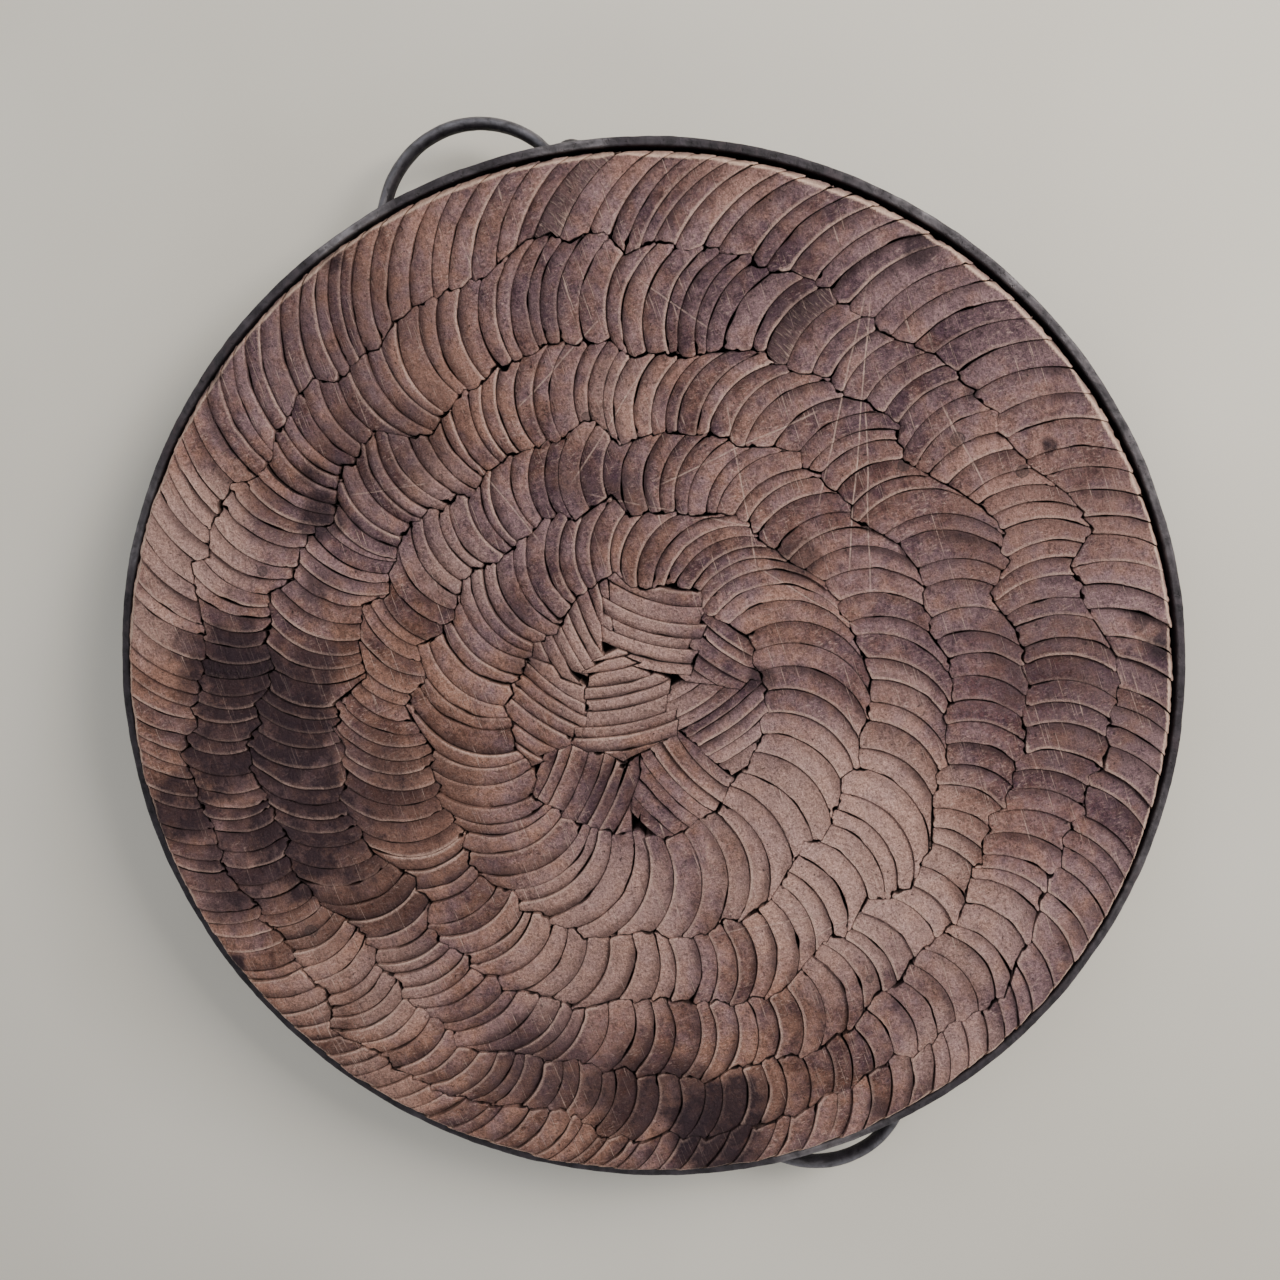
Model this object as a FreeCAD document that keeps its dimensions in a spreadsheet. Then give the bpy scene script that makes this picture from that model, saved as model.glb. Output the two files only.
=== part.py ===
import FreeCAD, Part
import bisect
import math
import os
import random

import Sketcher
from FreeCAD import Placement, Rotation, Vector

# A leather worker's cutting and punching block: some five hundred offcuts of thick leather stand
# on edge, ring after ring, inside a forged iron hoop that has a bent iron handle on each side.
# The block lies on its back with the working face up. The origin is on the underside, on the
# hoop's axis, and the handles are out along X. Lengths are in mm and angles in degrees.

DIMENSIONS = (
    ("hoop_diameter", 480.0, "outside of the hoop"),
    ("hoop_height", 52.0, "width of the strap that the hoop is bent from"),
    ("hoop_iron", 4.0, "thickness of that strap"),
    ("hoop_rounding", 0.8, "worn edges of the hoop"),
    ("leather_proud", 7.0, "working face above the top of the hoop"),
    ("leather_recess", 1.5, "ends of the offcuts above the underside"),
    ("rim_gap", 1.4, "mean gap between the leather and the hoop"),
    ("rim_shift", 1.1, "how far the shrunken leather sits off centre"),
    ("rim_shift_angle", 117.0, "direction of that shift"),
    ("bevel_inward", 3.5, "worn bevel round the working face, along the radius"),
    ("bevel_drop", 6.5, "the same bevel, down the side"),
    ("strip_pitch", 8.7, "usual thickness of an offcut"),
    ("strip_gap", 0.3, "open joint between neighbours"),
    ("strip_unevenness", 0.7, "how far an offcut's end may sit below the face"),
    ("centre_radius", 56.0, "patchwork in the middle, inside the rings"),
    ("handle_reach", 22.5, "centre line of the bow beyond the hoop"),
    ("bow_radius", 44.0, "centre line of the bow"),
    ("bar_thickness", 5.4, "bow across the finger gap"),
    ("bar_width", 9.0, "bow along the hoop's axis"),
    ("foot_thickness", 3.0, "flattened end of the bar"),
    ("foot_width", 20.0, "the same, along the hoop's axis"),
    ("foot_rounding", 7.0, "corners of its free end"),
    ("foot_inner_angle", 8.3, "start of a foot, from the middle of its handle"),
    ("foot_outer_angle", 14.0, "end of a foot"),
    ("rivet_angle", 11.6, "rivet, from the middle of its handle"),
    ("rivet_shank", 6.0, "diameter of the shank"),
    ("rivet_head", 9.5, "diameter of the domed head"),
    ("rivet_dome", 2.4, "height of the domed head"),
    ("rivet_sink", 1.6, "depth of the countersink inside the hoop"),
    ("left_handle_angle", 183.6, "the left handle isn't quite opposite the right one"),
)

# Rings of offcuts from the rim inwards: each ring's share of the way from the rim to the centre,
# how much its inner edge adds to half of its outer edge's drift off centre (mm) and towards where,
# and the lean of its strips from the radius at their outer and inner ends. A strip with a positive
# lean has its outer end clockwise of its inner end.
COURSES = (
    {"share": 0.170, "off_centre": 8.0, "towards": 160.0, "lean_out": 46.0, "lean_in": 12.0},
    {"share": 0.195, "off_centre": 8.5, "towards": 155.0, "lean_out": 34.0, "lean_in": -20.0},
    {"share": 0.205, "off_centre": 7.5, "towards": 175.0, "lean_out": 38.0, "lean_in": -20.0},
    {"share": 0.205, "off_centre": 5.0, "towards": 150.0, "lean_out": 40.0, "lean_in": -18.0},
    {"share": 0.225, "off_centre": 2.0, "towards": -140.0, "lean_out": 42.0, "lean_in": -12.0},
)
QUARTERS = "abcd"

# Patches of the centre: where the middle of each is (share of the centre's radius, direction), the
# way that its strips run, and the radius that they are bent to.
PATCHES = (
    {"out": 0.16, "towards": 110.0, "run": 82.0, "bend": 92.0},
    {"out": 0.62, "towards": -32.0, "run": 58.0, "bend": 74.0},
    {"out": 0.74, "towards": 20.0, "run": 6.0, "bend": 108.0},
    {"out": 0.68, "towards": 74.0, "run": 38.0, "bend": 80.0},
    {"out": 0.76, "towards": 128.0, "run": 140.0, "bend": 115.0},
    {"out": 0.66, "towards": 176.0, "run": 20.0, "bend": 86.0},
    {"out": 0.58, "towards": 236.0, "run": 104.0, "bend": 98.0},
    {"out": 0.76, "towards": 284.0, "run": 36.0, "bend": 82.0},
)

FULL_TURN = 2 * math.pi
SMALLEST_OFFCUT = 24.0  # mm2; a smaller sliver is left out, as a void
STEEPEST_DROP = 0.45  # of a boundary between rings, where its radius falls with the angle
STEEPEST_RISE = 1.30  # and where it rises
CLEAR = 0.15  # mm; how far a corner of an end stays from the strip's sides
SEARCH = 20.0  # mm; how far from its usual radius a side may meet a boundary
RIM_TIP = 0.3  # mm; how little the tips are cut against the hoop
HALVINGS = 30  # steps in the search for a crossing
CORNER = 0.07  # share of a strip's thickness beyond each corner of its end
SOFTER_CUTS = (1.0, 0.4, 0.1)  # shares of a tip's usual cut, tried one after another
RING_DICE = 100  # seeds of the chance in the rings and in the centre's patches
CENTRE_DICE = 200
BOW_OVERRUN = 8  # degrees; how far each end of a bow runs on into the hoop

# How much the offcuts differ. Thicknesses are shares of the pitch.
THICKNESS = (0.72, 1.32)
THINNER = 0.16  # what an offcut loses on one side of the block and gains on the other
THIN_TOWARDS = 70.0  # direction of the side where the offcuts are thinnest
LEAN_DRIFT = 6.0  # degrees; a slow swing, twice round each ring
LEAN_SCATTER = 2.4  # degrees
BATCH = (2, 6)  # neighbours cut to one length
BATCH_SCATTER = 6.0  # mm, between one batch and the next
LENGTH_SCATTER = 1.8  # mm, within a batch
END_SCATTER = 0.25  # mm; how far an outer end stays from the ring outside it
SLANT = (-0.4, 1.9)  # mm; how far an inner end is short at one corner and long at the other
CROWN = (0.2, 1.1)  # mm; how far the middle of an inner end bulges
TIP_CUT = (0.2, 1.0)  # mm; how far short of its ends a side stops, so that the tips are blunt
CENTRE_THICKNESS = (0.55, 0.95)
CENTRE_OVERLAP = (0.0, 8.0)  # mm; how far a strip may reach into the patch beside its own

# A rivet's dome: shares of its height and of the head's diameter.
DOME = ((0.45, 0.44), (0.85, 0.25))

doc = FreeCAD.newDocument("cutting_block")
sheet = doc.addObject("Spreadsheet::Sheet", "sizes")
for row, (alias, amount, meaning) in enumerate(DIMENSIONS, start=1):
    sheet.set(f"A{row}", alias)
    sheet.set(f"B{row}", str(amount))
    sheet.set(f"C{row}", meaning)
    sheet.setAlias(f"B{row}", alias)
doc.recompute()


def value(formula):
    """Work out a formula over the sheet's cells."""
    return float(sheet.evalExpression(formula))


# ---- Iron work: bodies whose own XY plane is at half the hoop's height ------------------------

HOOP_OUTSIDE = "sizes.hoop_diameter / 2"
HOOP_INSIDE = "(sizes.hoop_diameter / 2 - sizes.hoop_iron)"
FOOT_OUTSIDE = "(sizes.hoop_diameter / 2 + sizes.foot_thickness)"
Z_TURN = Rotation(Vector(0, 0, 1), 1)
UPRIGHT_TURN = Rotation(Vector(0, 1, 0), 1)


def origin_feature(body, role):
    return next(feature for feature in body.Origin.OriginFeatures if feature.Role == role)


def iron_body(label, angle="0"):
    """A body at half the hoop's height, turned about the hoop's axis."""
    body = doc.addObject("PartDesign::Body", label)
    body.Label = label
    body.Placement = Placement(Vector(), Z_TURN)
    body.setExpression("Placement.Rotation.Angle", f"({angle}) * 1deg")
    body.setExpression("Placement.Base.z", "sizes.hoop_height / 2")
    return body


def upright_sketch(body, name, angle="0"):
    """A sketch in a plane through the axis: its x is the radius and its y is up."""
    sketch = body.newObject("Sketcher::SketchObject", name)
    sketch.AttachmentSupport = [(origin_feature(body, "XZ_Plane"), "")]
    sketch.MapMode = "FlatFace"
    sketch.AttachmentOffset = Placement(Vector(), UPRIGHT_TURN)
    sketch.setExpression("AttachmentOffset.Rotation.Angle", f"({angle}) * 1deg")
    return sketch


def pin(sketch, kind, element, vertex, formula):
    """Bind one coordinate of a point to a formula."""
    index = sketch.addConstraint(Sketcher.Constraint(kind, -1, 1, element, vertex, value(formula)))
    sketch.setExpression(f"Constraints[{index}]", formula)


def draw_polygon(sketch, corners):
    """Draw straight sides between corners whose coordinates are formulas."""
    points = [Vector(value(x), value(y), 0) for x, y in corners]
    first = sketch.GeometryCount
    for start, end in zip(points, points[1:] + points[:1]):
        sketch.addGeometry(Part.LineSegment(start, end), False)
    for number, (x, y) in enumerate(corners):
        after = first + (number + 1) % len(corners)
        sketch.addConstraint(Sketcher.Constraint("Coincident", first + number, 2, after, 1))
        pin(sketch, "DistanceX", first + number, 1, x)
        pin(sketch, "DistanceY", first + number, 1, y)


def revolve(body, kind, name, sketch, axis, angle="360"):
    feature = body.newObject(kind, name)
    feature.Profile = sketch
    feature.ReferenceAxis = axis
    feature.setExpression("Angle", f"({angle}) * 1deg")
    return feature


def section(sketch, inner, outer, width):
    """A rectangle between two radii, as tall as width and centred on half height."""
    draw_polygon(sketch, (
        (inner, f"-{width} / 2"),
        (outer, f"-{width} / 2"),
        (outer, f"{width} / 2"),
        (inner, f"{width} / 2"),
    ))


def rivet_profile(sketch, with_head):
    """Half of a rivet, or of the hole for it, above its own axis."""
    shank = "sizes.rivet_shank / 2"
    flare = f"({shank} + sizes.rivet_sink)"
    tail = (
        (HOOP_INSIDE, "0"),
        (HOOP_INSIDE, flare),
        (f"{HOOP_INSIDE} + sizes.rivet_sink", shank),
    )
    if not with_head:
        draw_polygon(sketch, tail + ((FOOT_OUTSIDE, shank), (FOOT_OUTSIDE, "0")))
        return
    brim = ((FOOT_OUTSIDE, shank), (FOOT_OUTSIDE, "sizes.rivet_head / 2"))
    dome = tuple((f"{FOOT_OUTSIDE} + {up} * sizes.rivet_dome", f"{out} * sizes.rivet_head")
                 for up, out in DOME)
    crest = ((f"{FOOT_OUTSIDE} + sizes.rivet_dome", "0"),)
    draw_polygon(sketch, tail + brim + dome + crest)


def rivet_hole(body, name, angle):
    sketch = upright_sketch(body, f"{name}_profile", angle)
    rivet_profile(sketch, with_head=False)
    before = body.Shape.Volume
    revolve(body, "PartDesign::Groove", name, sketch, (sketch, ["H_Axis"]))
    doc.recompute()
    if not body.Shape.Volume < before:
        raise RuntimeError(f"{name} removes nothing")


HANDLES = {"right": "0", "left": "sizes.left_handle_angle"}


def make_hoop():
    body = iron_body("hoop")
    sketch = upright_sketch(body, "hoop_section")
    section(sketch, HOOP_INSIDE, HOOP_OUTSIDE, "sizes.hoop_height")
    ring = revolve(body, "PartDesign::Revolution", "hoop_ring", sketch,
                   (origin_feature(body, "Z_Axis"), [""]))
    doc.recompute()
    rims = [f"Edge{number}" for number, edge in enumerate(ring.Shape.Edges, start=1)
            if isinstance(edge.Curve, Part.Circle)]
    worn = body.newObject("PartDesign::Fillet", "hoop_worn_edges")
    worn.Base = (ring, rims)
    worn.setExpression("Radius", "sizes.hoop_rounding")
    doc.recompute()
    for side, middle in HANDLES.items():
        for place, sign in (("front", "-"), ("back", "+")):
            rivet_hole(body, f"hoop_{side}_{place}_hole", f"{middle} {sign} sizes.rivet_angle")
    return body


def draw_bar(sketch):
    """The bow's section, a flat bar with round edges, and its upright axis of bending."""
    middle = f"({HOOP_OUTSIDE} + sizes.handle_reach)"
    half = "sizes.bar_thickness / 2"
    straight = "((sizes.bar_width - sizes.bar_thickness) / 2)"
    x, r, y = value(middle), value(half), value(straight)
    outer = sketch.addGeometry(Part.LineSegment(Vector(x + r, -y, 0), Vector(x + r, y, 0)), False)
    top = sketch.addGeometry(Part.ArcOfCircle(
        Part.Circle(Vector(x, y, 0), Vector(0, 0, 1), r), 0, math.pi), False)
    inner = sketch.addGeometry(Part.LineSegment(Vector(x - r, y, 0), Vector(x - r, -y, 0)), False)
    bottom = sketch.addGeometry(Part.ArcOfCircle(
        Part.Circle(Vector(x, -y, 0), Vector(0, 0, 1), r), math.pi, FULL_TURN), False)
    for first, first_end, second, second_end in (
            (outer, 2, top, 1), (top, 2, inner, 1), (inner, 2, bottom, 1), (bottom, 2, outer, 1)):
        sketch.addConstraint(Sketcher.Constraint("Tangent", first, first_end, second, second_end))
    pin(sketch, "DistanceX", top, 3, middle)
    pin(sketch, "DistanceY", top, 3, straight)
    pin(sketch, "DistanceX", outer, 1, f"{middle} + {half}")
    pin(sketch, "DistanceY", bottom, 3, f"-{straight}")
    axis_x = f"{middle} - sizes.bow_radius"
    axis = sketch.addGeometry(Part.LineSegment(
        Vector(value(axis_x), -y, 0), Vector(value(axis_x), y, 0)), True)
    for vertex, height in ((1, f"-{straight}"), (2, straight)):
        pin(sketch, "DistanceX", axis, vertex, axis_x)
        pin(sketch, "DistanceY", axis, vertex, height)


def bow_sweep():
    """Formula for the angle that the bow turns through, with its ends a little inside the hoop."""
    centre = f"({HOOP_OUTSIDE} + sizes.handle_reach - sizes.bow_radius)"
    opening = (f"(({HOOP_OUTSIDE})^2 - {centre}^2 - sizes.bow_radius^2)"
               f" / (2 * {centre} * sizes.bow_radius)")
    return f"2 * (acos({opening}) / 1deg + {BOW_OVERRUN})"


def make_handle(side, middle):
    body = iron_body(f"{side}_handle", middle)
    bar = upright_sketch(body, f"{side}_bar_section")
    draw_bar(bar)
    bow = revolve(body, "PartDesign::Revolution", f"{side}_bow", bar, (bar, ["Axis0"]), bow_sweep())
    bow.Midplane = True
    for place, start in (("front", "-sizes.foot_outer_angle"), ("back", "sizes.foot_inner_angle")):
        sketch = upright_sketch(body, f"{side}_{place}_foot_section", start)
        section(sketch, HOOP_OUTSIDE, FOOT_OUTSIDE, "sizes.foot_width")
        foot = revolve(body, "PartDesign::Revolution", f"{side}_{place}_foot", sketch,
                       (origin_feature(body, "Z_Axis"), [""]),
                       "sizes.foot_outer_angle - sizes.foot_inner_angle")
    doc.recompute()
    end = value("sizes.foot_outer_angle")
    corners = []
    for number, edge in enumerate(foot.Shape.Edges, start=1):
        points = [vertex.Point for vertex in edge.Vertexes]
        angles = [abs(math.degrees(math.atan2(point.y, point.x))) for point in points]
        heights = {round(point.z, 3) for point in points}
        if len(heights) == 1 and all(abs(angle - end) < 0.01 for angle in angles):
            corners.append(f"Edge{number}")
    rounded = body.newObject("PartDesign::Fillet", f"{side}_foot_corners")
    rounded.Base = (foot, corners)
    rounded.setExpression("Radius", "sizes.foot_rounding")
    seat = body.newObject("Sketcher::SketchObject", f"{side}_seat_outline")
    seat.AttachmentSupport = [(origin_feature(body, "XY_Plane"), "")]
    seat.MapMode = "FlatFace"
    rim = seat.addGeometry(Part.Circle(Vector(), Vector(0, 0, 1), value(HOOP_OUTSIDE)), False)
    seat.addConstraint(Sketcher.Constraint("Coincident", rim, 3, -1, 1))
    radius = seat.addConstraint(Sketcher.Constraint("Radius", rim, value(HOOP_OUTSIDE)))
    seat.setExpression(f"Constraints[{radius}]", HOOP_OUTSIDE)
    doc.recompute()
    before = body.Shape.Volume
    trim = body.newObject("PartDesign::Pocket", f"{side}_seat")
    trim.Profile = seat
    trim.SideType = "Symmetric"
    trim.setExpression("Length", "sizes.hoop_height")
    doc.recompute()
    if not body.Shape.Volume < before:
        raise RuntimeError(f"the seat of the {side} handle removes nothing")
    for place, sign in (("front", "-"), ("back", "+")):
        rivet_hole(body, f"{side}_handle_{place}_hole", f"{sign} sizes.rivet_angle")
    return body


def make_rivets(side, middle):
    """Both rivets of a handle, as one node of two solids."""
    rivets = []
    for place, sign in (("front", "-"), ("back", "+")):
        body = iron_body(f"{side}_{place}_rivet", f"{middle} {sign} sizes.rivet_angle")
        sketch = upright_sketch(body, f"{side}_{place}_rivet_profile")
        rivet_profile(sketch, with_head=True)
        revolve(body, "PartDesign::Revolution", f"{side}_{place}_rivet_turned", sketch,
                (sketch, ["H_Axis"]))
        rivets.append(body)
    pair = doc.addObject("Part::Compound", f"{side}_handle_rivets")
    pair.Label = f"{side}_handle_rivets"
    pair.Links = rivets
    return pair


# ---- Leather: outlines worked out ring by ring, then raised as prisms -------------------------
# Polar points are (angle in radians, radius), about the middle of the leather. A boundary between
# rings is a list of such corners in order of angle, and runs straight from one to the next.

leather_radius = value(f"{HOOP_INSIDE} - sizes.rim_gap")
leather_height = value("sizes.hoop_height + sizes.leather_proud - sizes.leather_recess")
pitch = value("sizes.strip_pitch")
half_gap = value("sizes.strip_gap / 2")
unevenness = value("sizes.strip_unevenness")
centre_radius = value("sizes.centre_radius")
bevel_inward = value("sizes.bevel_inward")
bevel_drop = value("sizes.bevel_drop")


def at(angle, radius):
    return Vector(radius * math.cos(angle), radius * math.sin(angle), 0)


def radius_on(boundary, angle):
    """The radius of a boundary at an angle."""
    angle %= FULL_TURN
    index = bisect.bisect_right(boundary, (angle, math.inf))
    first_angle, first_radius = boundary[index - 1]
    next_angle, next_radius = boundary[index % len(boundary)]
    span = (next_angle - first_angle) % FULL_TURN or FULL_TURN
    return first_radius + (next_radius - first_radius) * ((angle - first_angle) % FULL_TURN) / span


def eased(boundary):
    """Raise corners beside a step that is steeper than the leaning sides of the next strips."""
    corners = list(boundary)
    count = len(corners)
    for direction, steepest in ((1, STEEPEST_DROP), (-1, STEEPEST_RISE)):
        for step in range(2 * count):
            angle, radius = corners[direction * step % count]
            index = direction * (step + 1) % count
            next_angle, next_radius = corners[index]
            reach = (direction * (next_angle - angle) % FULL_TURN) * radius
            corners[index] = (next_angle, max(next_radius, radius - steepest * reach))
    return corners


class Side:
    """A strip's curved side: its lean from the radius changes evenly from its outer end inwards."""

    def __init__(self, course, traits, inwards=0):
        self.start, self.lean_out, self.lean_in = traits
        self.outer_radius = course.usual_outer(self.start)
        self.length = self.outer_radius - course.usual_inner(self.start)
        chord_lean = math.radians((self.lean_out + self.lean_in) / 2)
        self.shift = inwards * half_gap / math.cos(chord_lean)

    def angle(self, radius):
        """Where the side is at a radius."""
        depth = (self.outer_radius - radius) / self.length
        slope_out = math.tan(math.radians(self.lean_out))
        slope_in = math.tan(math.radians(self.lean_in))
        drift = slope_out * depth + (slope_in - slope_out) * depth ** 2 / 2
        middle = self.outer_radius - self.length / 2
        return self.start + drift * self.length / middle + self.shift / radius

    def meet(self, boundary, offset):
        """The radius where the side comes to offset from a boundary."""
        usual = radius_on(boundary, self.start)
        low, high = usual - SEARCH, usual + SEARCH
        for _ in range(HALVINGS):
            radius = (low + high) / 2
            if radius < radius_on(boundary, self.angle(radius)) + offset:
                low = radius
            else:
                high = radius
        return radius

    def run_between(self, outer, inner, outer_cut, inner_cut):
        """Fix the side's ends, where it meets the boundaries, and its drawn part, short of them."""
        self.ends = {"outer": self.angle(outer), "inner": self.angle(inner)}
        radii = (outer - outer_cut, (outer + inner) / 2, inner + inner_cut)
        self.points = [(self.angle(radius), radius) for radius in radii]


class Course:
    """One ring of strips, between an outer boundary that is given and an inner one that it makes."""

    def __init__(self, number, traits, outer, radii, outer_drift, dice):
        self.number = number
        self.outer = outer
        self.outer_radius, self.inner_radius = radii
        self.outer_drift = outer_drift
        self.inner_drift = outer_drift / 2 + at(math.radians(traits["towards"]), traits["off_centre"])
        self.dice = dice
        lean = math.radians((traits["lean_out"] + traits["lean_in"]) / 2)
        count = round(math.pi * sum(radii) * math.cos(lean) / pitch)
        turn = dice.uniform(0, FULL_TURN)
        widths = []
        for index in range(count):
            from_thin = turn + FULL_TURN * index / count - math.radians(THIN_TOWARDS)
            widths.append(dice.uniform(*THICKNESS) * (1 - THINNER * math.cos(from_thin)))
        scale = FULL_TURN / sum(widths)
        swing = dice.uniform(0, FULL_TURN)
        self.sides = []
        for width in widths:
            extra = LEAN_DRIFT * math.cos(2 * turn + swing)
            extra += dice.uniform(-LEAN_SCATTER, LEAN_SCATTER)
            self.sides.append((turn, traits["lean_out"] + extra, traits["lean_in"] + extra))
            turn += width * scale
        first = self.sides[0]
        self.sides.append((first[0] + FULL_TURN, first[1], first[2]))
        self.inner = self.make_inner_boundary()

    def usual_outer(self, angle):
        return self.outer_radius + self.outer_drift.dot(at(angle, 1))

    def usual_inner(self, angle):
        return self.inner_radius + self.inner_drift.dot(at(angle, 1))

    def make_inner_boundary(self):
        """Strips come in batches of a length, each with a slightly slanted, rounded inner end."""
        corners = []
        alike = 0
        for low, high in zip(self.sides, self.sides[1:]):
            if alike == 0:
                alike = self.dice.randint(*BATCH)
                batch = self.dice.uniform(-BATCH_SCATTER, BATCH_SCATTER)
            alike -= 1
            start = Side(self, low).angle(self.usual_inner(low[0]))
            width = Side(self, high).angle(self.usual_inner(high[0])) - start
            middle = start + width / 2
            unusual = radius_on(self.outer, middle) - self.usual_outer(middle)
            end = self.usual_inner(middle) + unusual / 2 + batch + self.dice.gauss(0, LENGTH_SCATTER)
            slant = self.dice.uniform(*SLANT)
            crown = self.dice.uniform(*CROWN)
            profile = ((CORNER, end + slant), (0.5, end - crown), (1 - CORNER, end - slant))
            for share, radius in profile:
                corners.append(((start + share * width) % FULL_TURN, radius))
        return eased(sorted(corners))

    def end_corners(self, end, sides, offset, cut):
        """Corners along one end, from the low side to the high side, with both of its tips cut."""
        boundary = self.outer if end == "outer" else self.inner
        low, high = sides
        low_tip = low.ends[end] + cut / low.points[0][1]
        high_tip = high.ends[end] - cut / high.points[0][1]
        corners = [(low_tip, radius_on(boundary, low_tip) + offset)]
        for angle, radius in boundary:
            ahead = (angle - low_tip) % FULL_TURN
            if ahead < high_tip - low_tip:
                corners.append((low_tip + ahead, radius + offset))
        corners.append((high_tip, radius_on(boundary, high_tip) + offset))
        return [(angle, radius) for angle, radius in sorted(corners)
                if low.angle(radius) < angle - CLEAR / radius
                and angle + CLEAR / radius < high.angle(radius)]

    def strip_face(self, index):
        """The outline of one strip, with its tips cut less where the usual cut would cross it."""
        offset = -half_gap
        if self.number > 1:
            offset -= abs(self.dice.gauss(0, END_SCATTER))
        cuts = self.dice.uniform(*TIP_CUT), self.dice.uniform(*TIP_CUT)
        for softer in SOFTER_CUTS:
            edges = self.strip_edges(index, offset, *[cut * softer for cut in cuts])
            face = Part.Face(Part.Wire(edges))
            if face.isValid():
                return face
        raise RuntimeError(f"strip {index} of ring {self.number} crosses itself")

    def strip_edges(self, index, offset, outer_cut, inner_cut):
        """Two curved sides and two broken ends."""
        if self.number == 1:
            outer_cut = RIM_TIP
        sides = (Side(self, self.sides[index], 1), Side(self, self.sides[index + 1], -1))
        for side in sides:
            side.run_between(side.meet(self.outer, offset), side.meet(self.inner, half_gap),
                             outer_cut, inner_cut)
        low, high = [side.points for side in sides]
        outer_end = self.end_corners("outer", sides, offset, outer_cut)
        inner_end = self.end_corners("inner", sides, half_gap, inner_cut)
        edges = [arc(*low)] + chain([low[2]] + inner_end + [high[2]]) + [arc(*reversed(high))]
        if self.number == 1:
            first, last = outer_end[0], outer_end[-1]
            middle = ((first[0] + last[0]) / 2, first[1])
            return edges + chain([high[0], last]) + [arc(last, middle, first)] + chain([first, low[0]])
        return edges + chain([high[0]] + outer_end[::-1] + [low[0]])


def arc(start, middle, end):
    return Part.Arc(at(*start), at(*middle), at(*end)).toShape()


def chain(corners):
    points = [at(*corner) for corner in corners]
    return [Part.LineSegment(first, second).toShape() for first, second in zip(points, points[1:])]


def prism(face, dice):
    return face.extrude(Vector(0, 0, leather_height - dice.uniform(0, unevenness)))


def bevelled_block():
    """The space that the leather may fill, with the worn bevel round its working face."""
    wall = leather_height - bevel_drop
    return Part.makeCylinder(leather_radius, wall).fuse(Part.makeCone(
        leather_radius, leather_radius - bevel_inward, bevel_drop, Vector(0, 0, wall)))


def leather_node(label, solids):
    """A node of loose offcuts, which stand a little above the underside of the hoop."""
    for solid in solids:
        if not solid.isValid() or solid.ShapeType != "Solid":
            raise RuntimeError(f"an offcut of {label} isn't a sound solid")
    node = doc.addObject("Part::Feature", label)
    node.Label = label
    node.Shape = Part.makeCompound(solids)
    lean = math.radians(value("sizes.rim_shift_angle"))
    shift = value("sizes.rim_shift")
    node.Placement = Placement(
        Vector(shift * math.cos(lean), shift * math.sin(lean), value("sizes.leather_recess")),
        Rotation())
    return node


def make_courses():
    """All rings, as one node for each quarter of a ring, and the boundary left for the centre."""
    nodes = []
    boundary = [(0.0, leather_radius)]
    outer_radius = leather_radius
    drift = Vector()
    block = bevelled_block()
    for number, traits in enumerate(COURSES, start=1):
        dice = random.Random(RING_DICE + number)
        inner_radius = outer_radius - traits["share"] * (leather_radius - centre_radius)
        course = Course(number, traits, boundary, (outer_radius, inner_radius), drift, dice)
        count = len(course.sides) - 1
        quarters = {letter: [] for letter in QUARTERS}
        for index in range(count):
            solid = prism(course.strip_face(index), dice)
            if number == 1:
                solid = solid.common(block).Solids[0]
            quarters[QUARTERS[index * len(QUARTERS) // count]].append(solid)
        for letter, solids in quarters.items():
            nodes.append(leather_node(f"leather_ring_{number}_{letter}", solids))
        boundary = course.inner
        outer_radius = inner_radius
        drift = course.inner_drift
    return nodes, boundary


def patch_middle(patch):
    return at(math.radians(patch["towards"]), patch["out"] * centre_radius)


def nearest_cell(patch, overlap):
    """The part of the plane nearer to this patch's middle than to any other's, and overlap more."""
    reach = 2 * centre_radius
    cell = Part.makePlane(2 * reach, 2 * reach, Vector(-reach, -reach, 0))
    middle = patch_middle(patch)
    for other in PATCHES:
        if other is patch:
            continue
        away = patch_middle(other) - middle
        half_way = away.Length / 2 + overlap
        far_side = Part.makePlane(4 * reach, 4 * reach, Vector(half_way, -2 * reach, 0))
        far_side.rotate(Vector(), Vector(0, 0, 1), math.degrees(math.atan2(away.y, away.x)))
        far_side.translate(middle)
        cell = cell.cut(far_side)
    return cell


def band(centre, inner, outer):
    """The flat ring between two radii."""
    disc = Part.Face(Part.Wire(Part.makeCircle(outer, centre)))
    if inner < pitch:
        return disc
    return disc.cut(Part.Face(Part.Wire(Part.makeCircle(inner, centre))))


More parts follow.
